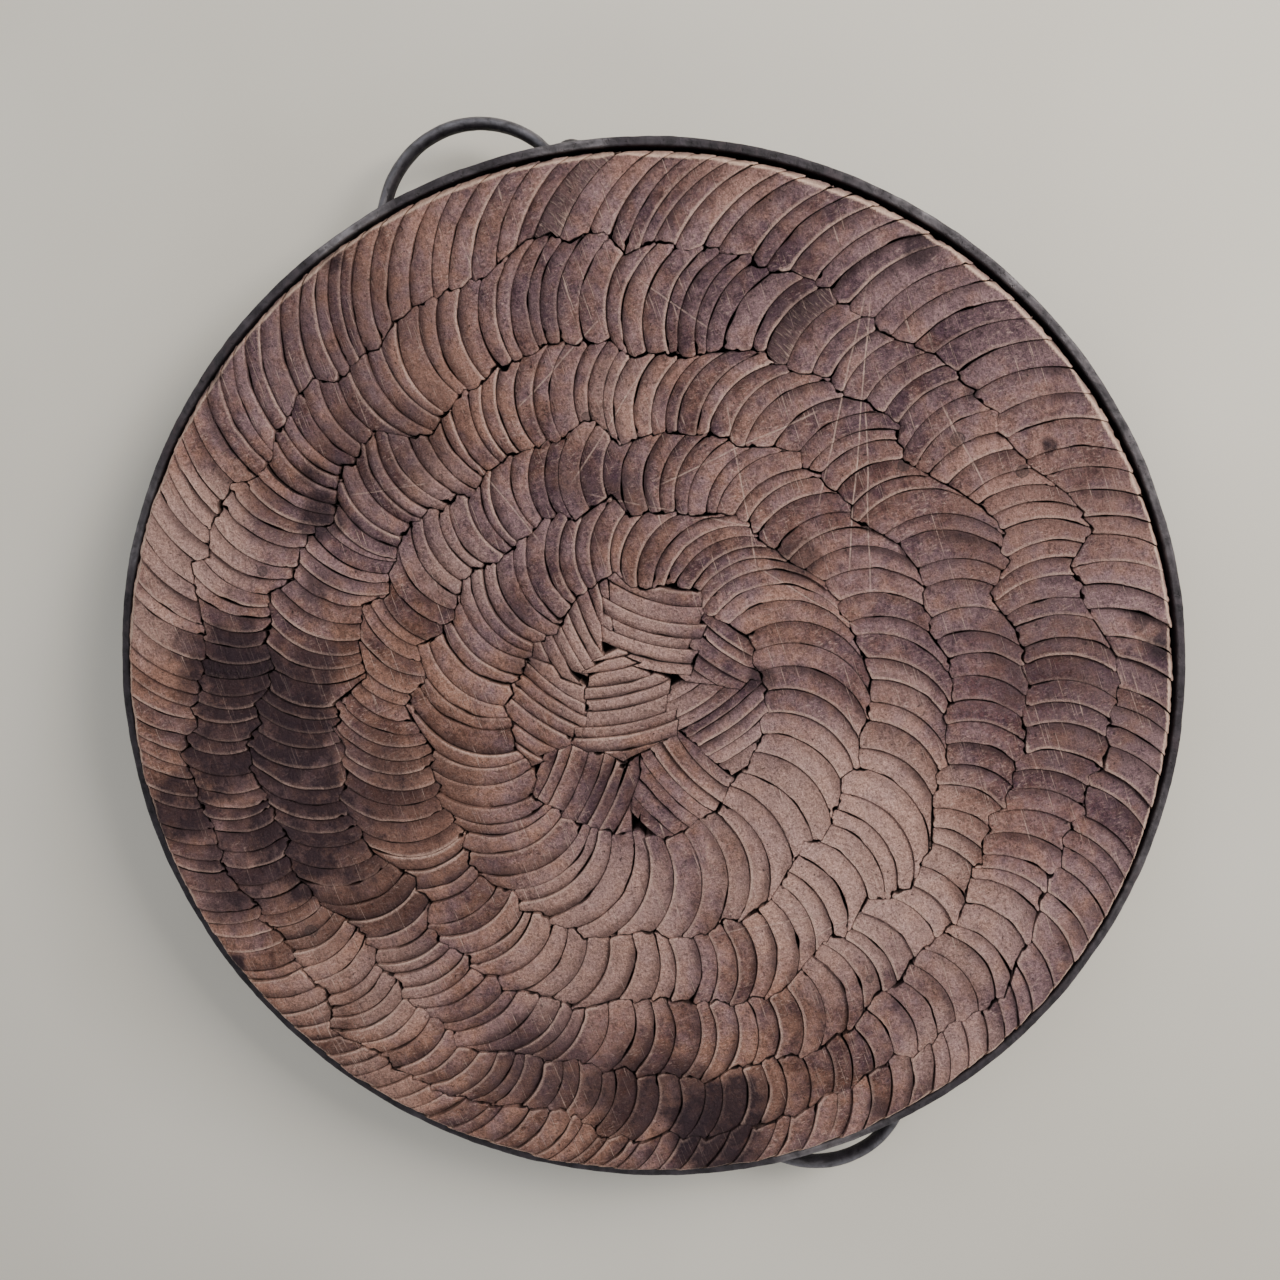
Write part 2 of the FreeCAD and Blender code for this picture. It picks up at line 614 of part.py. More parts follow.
def make_centre(boundary):
    """Patches of bent strips in the middle, laid one after another so that they interlock."""
    inset = [(angle, radius - 2 * half_gap) for angle, radius in boundary]
    ground = Part.Face(Part.Wire(chain(inset + inset[:1])))
    reach = 6 * centre_radius
    free = Part.makePlane(2 * reach, 2 * reach, Vector(-reach, -reach, 0))
    nodes = []
    for number, patch in enumerate(PATCHES, start=1):
        dice = random.Random(CENTRE_DICE + number)
        run = math.radians(patch["run"])
        bend_centre = patch_middle(patch) - Vector(-math.sin(run), math.cos(run), 0) * patch["bend"]
        solids = []
        inner = max(0.0, patch["bend"] - centre_radius)
        while inner < patch["bend"] + centre_radius:
            outer = inner + pitch * dice.uniform(*CENTRE_THICKNESS)
            overlap = dice.uniform(*CENTRE_OVERLAP)
            strip = band(bend_centre, inner + half_gap, outer - half_gap)
            strip = strip.common(nearest_cell(patch, overlap - 2 * half_gap))
            taken = band(bend_centre, inner, outer).common(nearest_cell(patch, overlap))
            inner = outer
            for face in free.common(strip).common(ground).Faces:
                if face.Area > SMALLEST_OFFCUT:
                    solids.append(prism(face, dice))
            free = free.cut(taken)
        nodes.append(leather_node(f"leather_centre_{number}", solids))
    return nodes


# ---- The whole block -------------------------------------------------------------------------

sub_parts = [make_hoop()]
for side, middle in HANDLES.items():
    sub_parts.append(make_handle(side, middle))
    sub_parts.append(make_rivets(side, middle))
rings, centre_boundary = make_courses()
sub_parts += rings
sub_parts += make_centre(centre_boundary)
doc.recompute()

for item in doc.Objects:
    if {"Invalid", "Error"} & set(item.State):
        raise RuntimeError(f"{item.Label} failed: {item.State}")
for item in sub_parts:
    if item.Shape.isNull() or not item.Shape.isValid():
        raise RuntimeError(f"{item.Label} has no sound shape")

os.makedirs("parts", exist_ok=True)
for item in sub_parts:
    item.Shape.exportStep(f"parts/{item.Label}.step")
    print(item.Label, len(item.Shape.Solids), round(item.Shape.Volume))
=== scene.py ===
import math
import random

import bmesh
import bpy
import numpy as np
from mathutils import Matrix, Vector
from mathutils.geometry import delaunay_2d_cdt


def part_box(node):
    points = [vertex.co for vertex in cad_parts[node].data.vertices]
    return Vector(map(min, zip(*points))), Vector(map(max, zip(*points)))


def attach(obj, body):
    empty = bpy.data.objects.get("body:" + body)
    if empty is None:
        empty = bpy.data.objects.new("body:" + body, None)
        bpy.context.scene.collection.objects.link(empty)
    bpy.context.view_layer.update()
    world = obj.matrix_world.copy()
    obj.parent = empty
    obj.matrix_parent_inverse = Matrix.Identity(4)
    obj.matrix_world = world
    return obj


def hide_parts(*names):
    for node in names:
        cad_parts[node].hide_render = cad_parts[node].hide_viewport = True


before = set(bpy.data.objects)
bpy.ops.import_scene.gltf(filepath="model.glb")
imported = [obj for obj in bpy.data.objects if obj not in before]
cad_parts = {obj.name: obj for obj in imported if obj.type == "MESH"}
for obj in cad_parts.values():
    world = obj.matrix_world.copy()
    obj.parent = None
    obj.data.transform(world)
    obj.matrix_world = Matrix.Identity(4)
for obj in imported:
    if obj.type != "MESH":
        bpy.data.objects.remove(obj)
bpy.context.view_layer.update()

# The looks of a round leather cutting block in an iron hoop. Lengths are in metres and azimuths in
# degrees about the block's axis, with the right handle at 0.

MM = 0.001
LEATHER_NODES = sorted(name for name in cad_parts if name.startswith("leather"))
RIM_NODES = [name for name in LEATHER_NODES if name.startswith("leather_ring_1")]
HANDLE_SIDES = ("right", "left")

hoop_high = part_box("hoop")[1]
HOOP_RADIUS = hoop_high.x
HOOP_HEIGHT = hoop_high.z
HOOP_IRON = 4.0 * MM
HOOP_ROUNDING = 1.0 * MM
BAR_THICKNESS = 5.4 * MM
BAR_WIDTH = 9.0 * MM
BOW_RADIUS = 44.0 * MM
FOOT_THICKNESS = 3.0 * MM
FOOT_WIDTH = 20.0 * MM
FOOT_ROUNDING = 7.0 * MM
RIVET_ANGLE = 11.6  # degrees from the middle of its handle


def union_box(names):
    """The low and high corners of the box round several nodes."""
    boxes = [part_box(name) for name in names]
    low = Vector([min(box[0][axis] for box in boxes) for axis in range(3)])
    high = Vector([max(box[1][axis] for box in boxes) for axis in range(3)])
    return low, high


leather_low, leather_high = union_box(LEATHER_NODES)
rim_low, rim_high = union_box(RIM_NODES)
LEATHER_MIDDLE = (rim_low + rim_high) / 2
LEATHER_RADIUS = (rim_high.x - rim_low.x + rim_high.y - rim_low.y) / 4
FACE = leather_high.z
UNDERSIDE = leather_low.z

# ---- Smooth random fields --------------------------------------------------------------------

LATTICE = np.random.default_rng(11).random((256, 256))


def noise(x, y, size, shift=0):
    """A smooth random field from 0 to 1 whose lumps are about size across."""
    u, v = x / size + 17.3 * shift, y / size + 5.7 * shift
    i, j = np.floor(u).astype(int), np.floor(v).astype(int)
    s, t = u - i, v - j
    s, t = s * s * (3 - 2 * s), t * t * (3 - 2 * t)
    i, j, next_i, next_j = i % 256, j % 256, (i + 1) % 256, (j + 1) % 256
    return ((1 - s) * (1 - t) * LATTICE[i, j] + s * (1 - t) * LATTICE[next_i, j]
            + (1 - s) * t * LATTICE[i, next_j] + s * t * LATTICE[next_i, next_j])


def rough(x, y, size, shift=0):
    """Three octaves of noise about zero, from -0.5 to 0.5."""
    total = noise(x, y, size, shift) + 0.5 * noise(x, y, size / 2, shift + 1)
    return (total + 0.25 * noise(x, y, size / 4, shift + 2)) / 1.75 - 0.5


def ease(value, start, end):
    """0 at start and 1 at end, with a smooth change between them."""
    share = np.clip((value - start) / (end - start), 0, 1)
    return share * share * (3 - 2 * share)


# ---- Stains and wear, as places on the working face -------------------------------------------
# Azimuth, distance from the axis in hoop radii, radius in mm, strength.

DARK_STAINS = (
    (68, 0.77, 37, 1.00), (79, 0.68, 36, 0.95), (79, 0.83, 25, 0.85), (68, 0.62, 18, 0.75),
    (93, 0.69, 46, 0.90), (88, 0.53, 35, 0.66), (106, 0.60, 31, 0.48), (85, 0.92, 20, 0.85),
    (96, 0.87, 31, 0.74), (105, 0.78, 28, 0.46), (94, 0.42, 30, 0.45), (114, 0.46, 23, 0.42),
    (118, 0.66, 17, 0.26), (105, 0.97, 7, 1.00), (112, 0.99, 6, 0.90), (171, 0.88, 30, 1.00),
    (167, 0.81, 21, 0.80), (159, 0.79, 29, 0.70), (147, 0.78, 29, 0.58), (171, 0.97, 12, 1.00),
    (141, 0.83, 16, 0.45), (41, 0.68, 12, 0.85), (36, 0.73, 7, 0.70), (15, 0.96, 7, 0.80),
    (33, 0.97, 4, 0.90), (51, 0.63, 11, 0.55), (44, 0.75, 16, 0.40), (31, 0.28, 10, 0.50),
    (-17, 0.39, 15, 0.50), (-3, 0.43, 12, 0.42), (-65, 0.39, 12, 0.70), (-98, 0.23, 7, 0.80),
    (52, 0.22, 11, 0.50), (140, 0.18, 14, 0.35), (-102, 0.95, 9, 0.95), (-99, 0.91, 6, 0.70),
    (-50, 0.94, 8, 0.70), (-40, 0.76, 12, 0.40), (-76, 0.86, 4, 0.80), (-65, 0.81, 4, 0.70),
    (-82, 0.68, 27, 0.30), (-137, 0.95, 14, 0.40), (-169, 0.94, 7, 0.60), (-5, 0.72, 14, 0.35),
    (18, 0.80, 44, 0.36), (-112, 0.84, 42, 0.34), (-85, 0.82, 36, 0.24), (25, 0.66, 32, 0.47),
    (-102, 0.74, 30, 0.45),
)
RUSTY_ZONES = (
    (-107, 0.68, 28, 0.75), (-126, 0.77, 28, 0.70), (-67, 0.50, 41, 0.40), (-100, 0.44, 27, 0.50),
    (157, 0.69, 27, 0.50), (101, 0.51, 19, 0.35),
)
PALE_ZONES = (
    (-147, 0.54, 64, 0.85), (-147, 0.33, 37, 0.60), (-143, 0.76, 32, 0.55), (51, 0.87, 30, 0.80),
    (63, 0.93, 18, 0.60), (35, 0.41, 19, 0.60), (121, 0.76, 28, 0.55), (-14, 0.55, 19, 0.35),
    (-157, 0.91, 24, 0.50), (2, 0.07, 34, 0.72), (24, 0.54, 16, 0.40), (-110, 0.47, 18, 0.40),
    (152, 0.48, 44, 0.60), (128, 0.97, 27, 0.40), (113, 0.84, 26, 0.40),
)
WARM_AZIMUTH = 116  # the leather is tan on this side of the block and more purple on the other
# Offcuts whose cut ends are torn crosswise: azimuth and distance (hoop radii).
RIBBED_OFFCUTS = ((-10, 0.87), (-41, 0.77), (66, 0.72))


def face_place(azimuth, share):
    """The x and y of a place given by its azimuth and its distance in hoop radii."""
    turn = math.radians(azimuth)
    return share * HOOP_RADIUS * math.cos(turn), share * HOOP_RADIUS * math.sin(turn)


def zones(x, y, spots, shift):
    """How strongly each point is within the spots, whose edges are ragged."""
    field = np.zeros_like(x)
    for azimuth, share, radius, strength in spots:
        middle_x, middle_y = face_place(azimuth, share)
        away = np.hypot(x - middle_x, y - middle_y) / (radius * MM)
        away += 0.8 * rough(x, y, radius * MM, shift) + 0.45 * rough(x, y, 7 * MM, shift + 3)
        field = np.maximum(field, strength * (1 - ease(away, 0.5, 1.25)))
    return field


# ---- Offcuts of leather ------------------------------------------------------------------------

SPACING = 0.85 * MM  # in the working face
OUTLINE_SPACING = 0.62 * MM
COARSE = 3.2 * MM  # in the underside
LIP_INSET = 0.32 * MM
SHOULDER_INSET = 0.85 * MM
BEVEL_IN = 3.5 * MM
BEVEL_DROP = 6.3 * MM
LIPS_TURNED = (38.0, 104.0)  # azimuths between which the offcuts' raised lips face the other way

# How far, in mm, an offcut's joints are torn open here and there, how ragged they are all round and
# more so at its ends, and how far it is squeezed outwards all round and more so at its ends.
TORN_SIDES = 0.75
TORN_ENDS = 1.2
RAGGED, RAGGED_ENDS = 0.05, 0.16
SQUEEZED, SQUEEZED_ENDS = 0.09, 0.20

# Relief of an offcut's worn end.
EDGE_DROP = 0.30 * MM
LIP_RISE = 0.14 * MM
LUMPS = 0.30 * MM
GRAIN = 0.16 * MM
WAVES = 0.9 * MM
RIB_DEPTH = 0.5 * MM

# What the leather's finish is told at each vertex.
ATTRIBUTES = ("joint", "shade", "lip", "tone", "stain", "rust", "pale", "bevel", "along", "across",
              "ribbed")


def outlines_of(name):
    """The outline of each offcut's flat underside, counter-clockwise from above."""
    solid = bmesh.new()
    solid.from_mesh(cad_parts[name].data)
    bmesh.ops.remove_doubles(solid, verts=solid.verts, dist=0.02 * MM)
    unseen = {face for face in solid.faces
              if all(vert.co.z < UNDERSIDE + 0.05 * MM for vert in face.verts)}
    loops = []
    while unseen:
        island = {next(iter(unseen))}
        queue = list(island)
        while queue:
            for edge in queue.pop().edges:
                beside = [face for face in edge.link_faces if face in unseen and face not in island]
                island.update(beside)
                queue += beside
        unseen -= island
        following = {}
        for face in island:
            for corner in face.loops:
                if not any(other in island for other in corner.edge.link_faces if other is not face):
                    following[corner.vert] = corner.link_loop_next.vert
        start = after = min(following, key=lambda vert: vert.index)
        loop = []
        while not loop or after is not start:
            loop.append(after.co[:2])
            after = following[after]
        loops.append(np.array(loop[::-1]))
    solid.free()
    return sorted(loops, key=lambda loop: (round(loop[:, 0].mean(), 5), round(loop[:, 1].mean(), 5)))


def resampled(loop, spacing):
    """The closed loop as evenly spaced points."""
    closed = np.vstack([loop, loop[:1]])
    lengths = np.hypot(*np.diff(closed, axis=0).T)
    far = np.concatenate([[0], np.cumsum(lengths)])
    count = max(14, round(far[-1] / spacing))
    stops = np.arange(count) * far[-1] / count
    return np.column_stack([np.interp(stops, far, closed[:, 0]), np.interp(stops, far, closed[:, 1])])


def inward(loop):
    """Unit vectors that point into a counter-clockwise loop."""
    tangent = np.roll(loop, -1, axis=0) - np.roll(loop, 1, axis=0)
    tangent /= np.maximum(np.hypot(*tangent.T), 1e-9)[:, None]
    return np.column_stack([-tangent[:, 1], tangent[:, 0]])


def distance_to(loop, points):
    """How far points are from a closed loop, and whether they are inside it."""
    start, end = loop, np.roll(loop, -1, axis=0)
    run = end - start
    offset = points[:, None, :] - start[None]
    share = (offset * run).sum(2) / np.maximum((run * run).sum(1), 1e-18)
    nearest = offset - np.clip(share, 0, 1)[..., None] * run
    away = np.sqrt((nearest ** 2).sum(2).min(1))
    above = (start[None, :, 1] > points[:, None, 1]) != (end[None, :, 1] > points[:, None, 1])
    rise = np.where(run[:, 1] == 0, 1e-18, run[:, 1])
    crossing = start[:, 0] + (points[:, None, 1] - start[:, 1]) * run[:, 0] / rise
    inside = (above & (points[:, None, 0] < crossing)).sum(1) % 2 == 1
    return away, inside


def filled(loop, spacing, insets):
    """Triangles inside a loop: its own points first, then rows along it, then an even grid."""
    points = [loop]
    normals = inward(loop)
    for inset in insets:
        row = loop + inset * normals
        away, inside = distance_to(loop, row)
        points.append(row[inside & (away > 0.8 * inset)])
    low, high = loop.min(0), loop.max(0)
    columns, rows = [np.arange(low[axis], high[axis], spacing) for axis in (0, 1)]
    grid = np.array([(x + (row % 2) * spacing / 2, y) for row, y in enumerate(rows) for x in columns])
    away, inside = distance_to(loop, grid)
    points.append(grid[inside & (away > insets[-1] + 0.45 * spacing)])
    points = np.vstack(points)
    border = [(index, (index + 1) % len(loop)) for index in range(len(loop))]
    found, _, faces, sources, _, _ = delaunay_2d_cdt(
        [Vector(point) for point in points], border, [], 1, 1e-8)
    places = np.array([tuple(point) for point in found])
    new_index = {source: index for index, group in enumerate(sources) for source in group}
    rim = [new_index[index] for index in range(len(loop))]
    return places, faces, rim


class Offcut:
    """One strip on edge: its own axis, its bend, and how its worn end stands."""

    def __init__(self, loop, ring, dice):
        self.dice = dice
        self.ring = ring
        self.middle = loop.mean(0)
        spread = loop - self.middle
        _, _, axes = np.linalg.svd(spread, full_matrices=False)
        self.run, self.cross = axes[0], axes[1]
        self.bend = np.polyfit(spread @ self.run, spread @ self.cross, 2)
        self.half = np.median(np.abs(self.crossing(loop)[0]))
        azimuth = math.degrees(math.atan2(self.middle[1], self.middle[0]))
        clockwise = np.array([self.middle[1], -self.middle[0]])
        turned = LIPS_TURNED[0] < azimuth < LIPS_TURNED[1] and ring in (1, 2, 3, 4)
        self.sign = 1 if (self.cross @ clockwise > 0) != turned else -1
        self.tone = dice.gauss(0, 1)
        self.sink = (dice.uniform(0, 0.35) + (0.9 if dice.random() < 0.08 else 0.0)) * MM
        self.tilt = dice.uniform(0.30, 1.15) * MM
        # How strongly its painted shade on the low side and its painted highlight on the lip show.
        self.shading = dice.uniform(0.30, 1.0)
        self.lip = dice.uniform(0.15, 1.0) ** 1.7
        side, along = np.abs(self.crossing(np.array([face_place(*place) for place in RIBBED_OFFCUTS])))
        self.ribbed = float(any((side < self.half) & (along < 14 * MM)))
        self.sideways = dice.uniform(-0.3, 0.3) * MM
        self.shift = dice.uniform(0, 9)

    def crossing(self, points):
        spread = points - self.middle
        along = spread @ self.run
        return spread @ self.cross - np.polyval(self.bend, along), along

    def across(self, points):
        """0 on the low side of the strip and 1 at its lip."""
        side, along = self.crossing(points)
        return np.clip(0.5 + self.sign * side / (2 * self.half), 0, 1), along


def worn_outline(loop, cut):
    """The outline as cutting has left it: joints mostly shut, but torn open here and there."""
    loop = resampled(loop, OUTLINE_SPACING)
    x, y = loop.T
    _, along = cut.crossing(loop)
    near_end = ease(np.abs(along) / np.abs(along).max(), 0.72, 0.92)
    opening = TORN_SIDES * ease(noise(x, y, 11 * MM, cut.shift), 0.60, 1.0)
    opening += near_end * TORN_ENDS * ease(noise(x, y, 3.4 * MM, cut.shift + 1), 0.60, 0.95)
    opening += (RAGGED + RAGGED_ENDS * near_end) * noise(x, y, 1.1 * MM, cut.shift + 2)
    return loop + ((opening - SQUEEZED - SQUEEZED_ENDS * near_end) * MM)[:, None] * inward(loop)


def working_face(points, away, cut):
    """Height of an offcut's worn end at each point, and what the finish needs to know there."""
    x, y = points.T
    across, along = cut.across(points)
    lip_side = ease(across, 0.62, 0.95)
    height = -cut.sink - cut.tilt * (1 - across) ** 1.6 + cut.sideways * along / (15 * MM)
    height -= EDGE_DROP * (1 - ease(away, 0, 0.9 * MM)) * (1 - 0.5 * lip_side)
    height += LIP_RISE * lip_side * (1 - ease(np.abs(away - 0.7 * MM), 0, 0.9 * MM))
    height += LUMPS * rough(x, y, 6 * MM, 1) + GRAIN * rough(x, y, 1.8 * MM, 2)
    height += WAVES * rough(x, y, 70 * MM, 3)
    height -= RIB_DEPTH * cut.ribbed * noise(along, 2 * MM * across, 0.9 * MM, 4)
    radius = np.hypot(x - LEATHER_MIDDLE.x, y - LEATHER_MIDDLE.y)
    width = BEVEL_IN * (0.72 + 0.5 * noise(x, y, 9 * MM, 5))
    into_bevel = np.clip((radius - LEATHER_RADIUS + width) / width, 0, 1)
    torn = 1 + 0.5 * rough(x, y, 2.2 * MM, 6)
    # The bevel's painted highlight fades, unevenly, further down it.
    bevel_fade = ease(into_bevel, 0.25, 0.75) * (0.35 + 0.6 * noise(x, y, 6 * MM, 10))
    height -= BEVEL_DROP * np.clip(into_bevel ** 1.5 * torn, 0, 1.0)
    patch = noise(x, y, 12 * MM, 7)
    joint_grime_and_shade = 0.35 + 0.75 * noise(x, y, 8 * MM, 9)
    near_lip = 1 - ease(np.abs(away - 0.5 * MM), 0.1 * MM, 0.75 * MM)
    looks = {
        # Painted shade, with some grime, in the joints; lighter on the lip side.
        "joint": (1 - ease(away, 0.0, 0.5 * MM)) * (1 - 0.6 * lip_side) * joint_grime_and_shade,
        # Painted shade, with some dirt, over the strip's low side.
        "shade": cut.shading * (1 - ease(across, 0.0, 0.55)) * (0.55 + 0.6 * patch),
        # Painted highlight along the strip's raised lip.
        "lip": cut.lip * lip_side * near_lip * (0.4 + patch),
        "stain": zones(x, y, DARK_STAINS, 8),
        "rust": zones(x, y, RUSTY_ZONES, 12),
        "pale": zones(x, y, PALE_ZONES, 16),
        # Painted highlight on the rim bevel, which faces up.
        "bevel": ease(into_bevel, 0.02, 0.20) * (1 - bevel_fade),
        "along": along / MM,
        "across": across,
    }
    return FACE + height, looks


def underside(points, away):
    """The same for the sawn underside, which nothing has cut or stained."""
    x, y = points.T
    height = 0.35 * MM * (1 - ease(away, 0, 0.7 * MM)) + 0.2 * MM * noise(x, y, 5 * MM, 20)
    looks = {
        # Painted shade, with some grime, along the joints.
        "joint": 1 - ease(away, 0, 0.6 * MM),
        "stain": 0.5 * zones(x, y, DARK_STAINS[:2], 30),
        "rust": 0.4 * noise(x, y, 60 * MM, 21),
        "pale": 0.5 * noise(x, y, 45 * MM, 22),
    }
    return UNDERSIDE + height, looks


class Batch:
    """Vertices, faces and vertex values of many offcuts, gathered for one mesh."""

    def __init__(self):
        self.points, self.faces, self.looks = [], [], []
        self.count = 0

    def add(self, flat, heights, looks, faces):
        self.points.append(np.column_stack([flat, heights]))
        self.looks.append([np.broadcast_to(looks.get(key, 0.0), len(flat)) for key in ATTRIBUTES])
        first = self.count
        self.faces += [[first + corner for corner in face] for face in faces]
        self.count += len(flat)
        return first


def add_offcut(batch, loop, ring, dice):
    """One closed offcut: its worn end, its underside and the wall between them."""
    cut = Offcut(loop, ring, dice)
    loop = worn_outline(loop, cut)
    own = {"tone": cut.tone, "ribbed": cut.ribbed}
    flat, faces, rim = filled(loop, SPACING, (LIP_INSET, SHOULDER_INSET))
    heights, looks = working_face(flat, distance_to(loop, flat)[0], cut)
    top = batch.add(flat, heights, looks | own, faces)
    flat, faces, base_rim = filled(loop, COARSE, (0.7 * MM,))
    heights, looks = underside(flat, distance_to(loop, flat)[0])
    base = batch.add(flat, heights, looks | own, [face[::-1] for face in faces])
    for index in range(len(loop)):
        after = (index + 1) % len(loop)
        batch.faces.append([base + base_rim[index], base + base_rim[after],
                            top + rim[after], top + rim[index]])


def mesh_object(name, points, faces, material, smooth_below=48):
    mesh = bpy.data.meshes.new(name)
    mesh.from_pydata([tuple(point) for point in points], [], faces)
    mesh.update()
    mesh.shade_smooth()
    mesh.set_sharp_from_angle(angle=math.radians(smooth_below))
    mesh.materials.append(material)
    piece = bpy.data.objects.new(name, mesh)
    bpy.context.scene.collection.objects.link(piece)
    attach(piece, "root")
    return piece


def make_leather(name, material):
    """The worn offcuts of one node, as one piece with the values that its finish needs."""
    ring = int(name.split("_")[2]) if name.startswith("leather_ring") else 0
    dice = random.Random(name)
    batch = Batch()
    for loop in outlines_of(name):
        add_offcut(batch, loop, ring, dice)
    piece = mesh_object("worn_" + name, np.vstack(batch.points), batch.faces, material)
    looks = np.hstack([np.array(part) for part in batch.looks])
    for key, values in zip(ATTRIBUTES, looks):
        layer = piece.data.attributes.new(key, "FLOAT", "POINT")
        layer.data.foreach_set("value", values.astype(np.float32))
    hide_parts(name)


# ---- Materials -----------------------------------------------------------------------------------

class Paint:
    """A material built up from small steps over the block's own coordinates."""

    def __init__(self, name):
        self.material = bpy.data.materials.new(name)
        self.material.use_nodes = True
        self.tree = self.material.node_tree
        self.tree.nodes.clear()
        self.shader = self.tree.nodes.new("ShaderNodeBsdfPrincipled")
        output = self.tree.nodes.new("ShaderNodeOutputMaterial")
        self.tree.links.new(self.shader.outputs[0], output.inputs["Surface"])
        self.place = self.tree.nodes.new("ShaderNodeTexCoord").outputs["Object"]

    def put(self, socket, value):
        if isinstance(value, bpy.types.NodeSocket):
            self.tree.links.new(value, socket)
        else:
            socket.default_value = value

    def step(self, kind, inputs, output=0, **settings):
        node = self.tree.nodes.new(kind)
        for key, setting in settings.items():
            setattr(node, key, setting)
        for key, value in inputs.items():
            self.put(node.inputs[key], value)
        return node.outputs[output]

    def value(self, name):
        return self.step("ShaderNodeAttribute", {}, "Fac", attribute_name=name)

    def noise(self, size, detail=2.0, roughness=0.5, distortion=0.0, place=None):
        return self.step("ShaderNodeTexNoise", {
            "Vector": place or self.place, "Scale": 1 / size, "Detail": detail,
            "Roughness": roughness, "Distortion": distortion})

    def frame(self, location=(0, 0, 0), turn=0.0, scale=(1, 1, 1)):
        return self.step("ShaderNodeMapping", {
            "Vector": self.place, "Location": location, "Rotation": (0, 0, math.radians(turn)),
            "Scale": scale})

    def ramp(self, value, start, end, low=0.0, high=1.0, smooth=False):
        return self.step("ShaderNodeMapRange", {
            "Value": value, "From Min": start, "From Max": end, "To Min": low, "To Max": high},
            interpolation_type="SMOOTHSTEP" if smooth else "LINEAR")

    def math(self, kind, first, second=0.5):
        return self.step("ShaderNodeMath", {0: first, 1: second}, operation=kind)

    def times(self, *values):
        result = values[0]
        for value in values[1:]:
            result = self.math("MULTIPLY", result, value)
        return result

    def mix(self, factor, first, second, blend="MIX"):
        node = self.tree.nodes.new("ShaderNodeMix")
        node.data_type = "RGBA"
        node.blend_type = blend
        self.put(node.inputs["Factor"], factor)
        for socket, colour in (("A", first), ("B", second)):
            target = next(item for item in node.inputs if item.name == socket and item.type == "RGBA")
            self.put(target, colour)
        return next(item for item in node.outputs if item.type == "RGBA")

    def bump(self, height, distance, normal=None, strength=1.0):
        inputs = {"Height": height, "Distance": distance, "Strength": strength}
        if normal:
            inputs["Normal"] = normal
        return self.step("ShaderNodeBump", inputs)


def srgb(red, green, blue):
    """A colour given as it looks on a screen, from 0 to 255."""
    linear = [(value / 255 / 12.92 if value <= 10 else ((value / 255 + 0.055) / 1.055) ** 2.4)
              for value in (red, green, blue)]
    return (*linear, 1.0)


# Knife cuts across the working face: azimuth and distance (hoop radii) of the middle, the way it
# runs, its length in mm and its strength.
KNIFE_CUTS = (
    (-58.0, 0.62, 158.0, 120, 0.9), (-52.0, 0.66, 150.0, 96, 0.7), (-66.0, 0.56, 164.0, 90, 0.7),
    (-40.0, 0.50, 96.0, 80, 0.8), (-14.0, 0.52, 128.0, 70, 0.7), (-6.0, 0.63, 118.0, 54, 0.8),
    (-30.0, 0.36, 60.0, 84, 0.6), (-44.0, 0.44, 172.0, 76, 0.7), (-75.0, 0.36, 40.0, 60, 0.6),
    (14.0, 0.46, 20.0, 60, 0.6), (-150.0, 0.60, 100.0, 90, 0.6), (-170.0, 0.50, 84.0, 50, 0.5),
    (-24.0, 0.72, 36.0, 40, 0.6), (-70.0, 0.74, 10.0, 46, 0.7), (30.0, 0.60, 80.0, 40, 0.5),
)
# Fields of nicks: the way they run, and how rare they are.
NICKS = ((24, 0.68), (62, 0.70), (108, 0.69), (152, 0.68))
# Marks of a round punch: azimuth, distance (hoop radii), radius in mm.
PUNCH_MARKS = (
    (-68.5, 0.74, 2.9), (-76.9, 0.80, 2.6), (-66.2, 0.64, 2.3), (107.0, 0.80, 2.8), (-52.0, 0.79, 2.0),
    (-9.0, 0.53, 2.2), (52.0, 0.74, 2.2), (-160.0, 0.70, 1.8),
)


def knife_cuts(paint):
    """How deeply each point is scratched, by single long cuts and by fields of fine nicks."""
    cuts = 0.0
    for azimuth, share, run, length, strength in KNIFE_CUTS:
        middle = Vector((*face_place(azimuth, share), 0))
        across = Matrix.Rotation(-math.radians(run), 3, "Z") @ middle
        parts = paint.tree.nodes.new("ShaderNodeSeparateXYZ")
        paint.put(parts.inputs[0], paint.frame(location=(-across.x, -across.y, 0), turn=-run))
        wander = paint.ramp(paint.noise(30 * MM, 1), 0, 1, -1.2 * MM, 1.2 * MM)
        away = paint.math("ABSOLUTE", paint.math("ADD", parts.outputs["Y"], wander))
        thin = paint.ramp(away, 0.15 * MM, 0.50 * MM, 1.0, 0.0)
        reach = paint.ramp(paint.math("ABSOLUTE", parts.outputs["X"]), 0.38 * length * MM,
                           0.5 * length * MM, strength, 0.0)
        cuts = paint.math("MAXIMUM", cuts, paint.times(thin, reach))
    for turn, low in NICKS:
        nicks = paint.noise(0.75 * MM, 1, 0.5, place=paint.frame(turn=turn, scale=(0.03, 1, 0.1)))
        field = paint.ramp(paint.noise(38 * MM, 1, place=paint.frame(turn=turn)), 0.46, 0.60)
        nicks = paint.times(paint.ramp(nicks, low, low + 0.05), field, 0.75)
        cuts = paint.math("MAXIMUM", cuts, nicks)
    broken = paint.ramp(paint.noise(4 * MM, 2, 0.6), 0.3, 0.55, 0.25, 1.0)
    return paint.times(cuts, broken)


